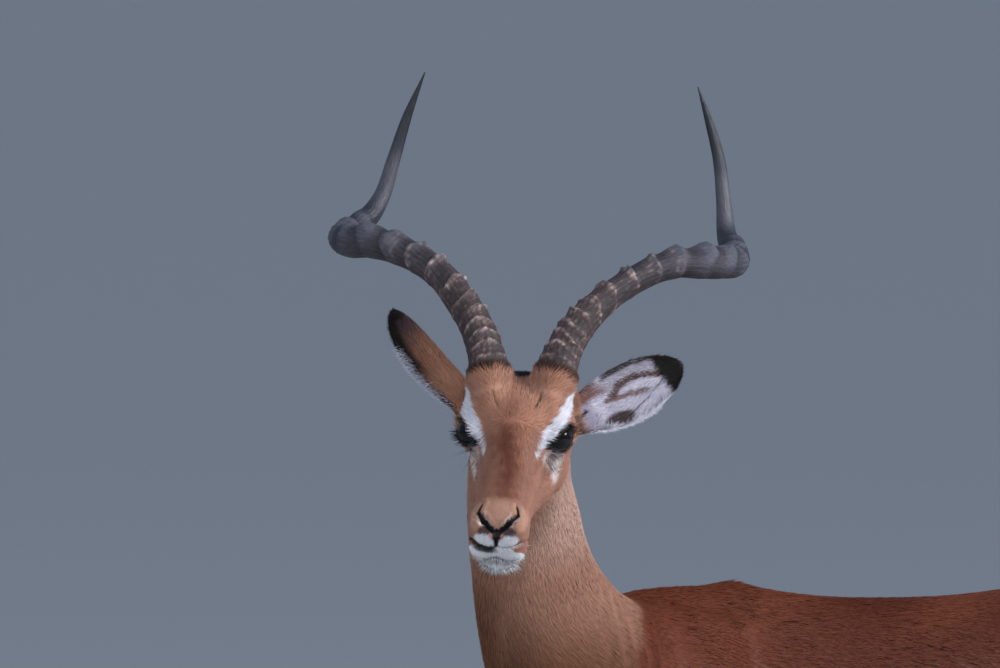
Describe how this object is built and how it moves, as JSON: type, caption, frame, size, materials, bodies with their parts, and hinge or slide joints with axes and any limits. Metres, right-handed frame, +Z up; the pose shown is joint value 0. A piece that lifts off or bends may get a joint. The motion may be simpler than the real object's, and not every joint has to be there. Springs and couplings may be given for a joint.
{
  "type": "impala antelope",
  "caption": "Life-size adult male impala standing still on all legs with lyre-shaped ringed horns and its head turned to its left.",
  "frame": {"origin": "floor level, under the centre of the whole model's bounding box", "axes": "+Z up; the body lies along Y with its chest towards -Y and its tail towards +Y; +X is the animal's left, the side the head turns to"},
  "size_m": [0.5022, 1.1539, 1.4209],
  "materials": {
    "rufous_coat": "short glossy reddish-brown hair",
    "fawn_coat": "short fawn hair, white below and black at the ear tips",
    "horn": "ringed grey-brown keratin, smooth towards the tips",
    "hoof": "satin black keratin",
    "eye": "wet and dark"
  },
  "bodies": {
    "root": {"trunk": "rufous_coat", "tail": "rufous_coat", "neck": "fawn_coat", "head": "fawn_coat", "ear_left": "fawn_coat", "ear_right": "fawn_coat", "foreleg_left": "fawn_coat", "foreleg_right": "fawn_coat", "hindleg_left": "fawn_coat", "hindleg_right": "fawn_coat", "eye_left": "eye", "eye_right": "eye", "horn_left": "horn", "horn_right": "horn", "fore_claw_left_inner": "hoof", "fore_claw_left_outer": "hoof", "fore_claw_right_inner": "hoof", "fore_claw_right_outer": "hoof", "hind_claw_left_inner": "hoof", "hind_claw_left_outer": "hoof", "hind_claw_right_inner": "hoof", "hind_claw_right_outer": "hoof"}
  },
  "joints": []
}
